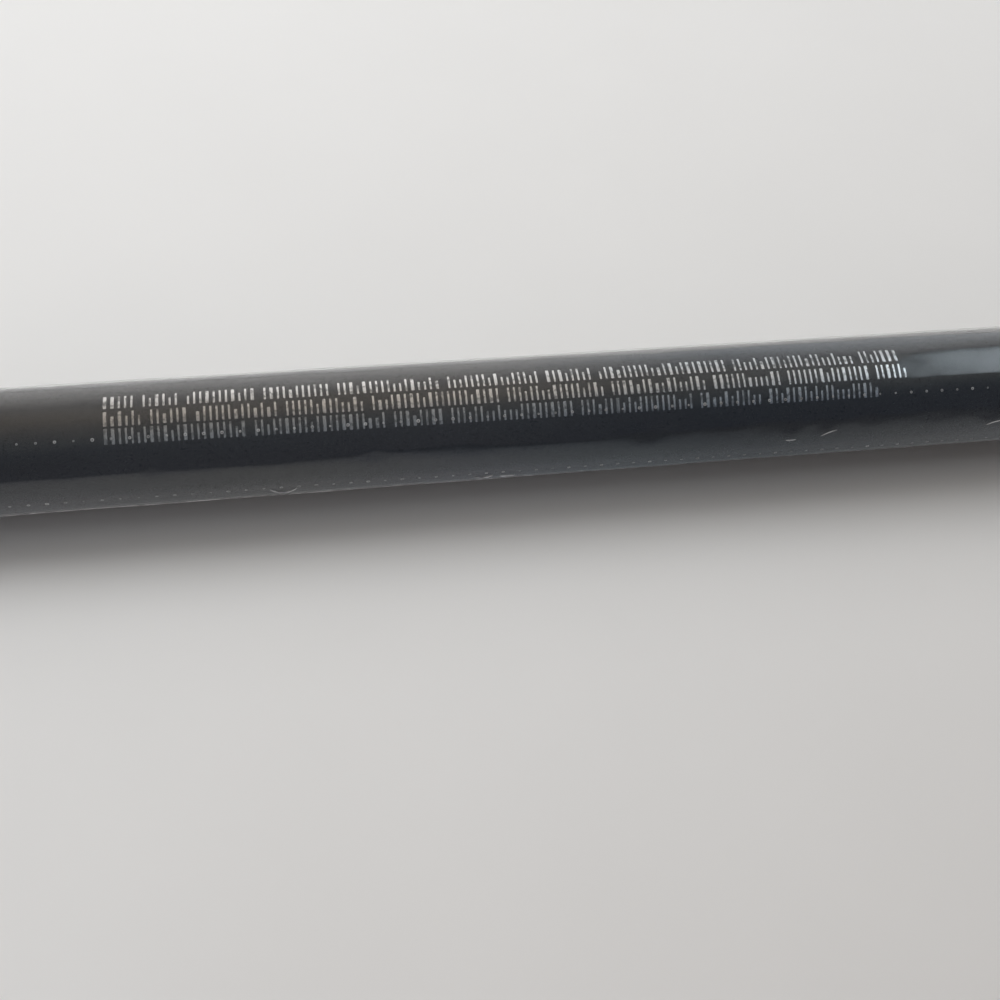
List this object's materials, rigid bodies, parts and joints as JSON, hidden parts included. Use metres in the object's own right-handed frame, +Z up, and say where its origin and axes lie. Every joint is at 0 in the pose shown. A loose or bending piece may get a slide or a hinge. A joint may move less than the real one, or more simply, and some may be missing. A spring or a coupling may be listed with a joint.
{
  "type": "eyeliner pencil",
  "caption": "Slim round twist-up eyeliner pencil with a pull-off cap, dark barrel in clear perforated shrink film, lying on its side.",
  "frame": {"origin": "on the surface that the pencil lies on, below the middle of its length", "axes": "+X along the pencil from the tail to the cap, +Z up"},
  "size_m": [0.144, 0.008, 0.008],
  "materials": {
    "barrel_black": "satin charcoal-black lacquer on moulded plastic",
    "cap_black": "gloss charcoal-black moulded plastic",
    "nozzle_black": "fine matte black moulded plastic",
    "shade_plug": "matte plug in the lead's shade",
    "shrink_film": "clear glossy shrink film with perforated tear strip",
    "natural_plastic": "uncoloured moulded plastic",
    "carrier_plastic": "off-white slippery moulded plastic",
    "brake_rubber": "greased elastic ring",
    "wax_lead": "soft black wax with a faint sheen"
  },
  "bodies": {
    "barrel": {"barrel": "barrel_black", "barrel_film": "shrink_film", "retaining_ring": "natural_plastic", "nozzle": "nozzle_black", "guide_tube": "natural_plastic"},
    "twist_base": {"twist_knob": "barrel_black", "end_plug": "shade_plug", "spiral_tube": "natural_plastic", "brake_ring": "brake_rubber"},
    "lead_carriage": {"lead_carrier": "carrier_plastic", "lead": "wax_lead"},
    "cap": {"cap_shell": "cap_black", "cap_liner": "natural_plastic", "cap_film": "shrink_film"}
  },
  "joints": [
    {"name": "cap_pull", "type": "slide", "parent": "barrel", "child": "cap", "axis": [1, 0, 0], "range_m": [0, 0.046]},
    {"name": "knob_twist", "type": "hinge", "parent": "barrel", "child": "twist_base", "pos_m": [-0.061, 0, 0.004], "axis": [1, 0, 0], "range_deg": [0, 1440.1]},
    {"name": "lead_advance", "type": "slide", "parent": "barrel", "child": "lead_carriage", "axis": [1, 0, 0], "range_m": [0, 0.024]}
  ],
  "couplings": [
    {"joint": "knob_twist", "follows": "lead_advance", "rad_per_m": 1047.2}
  ]
}
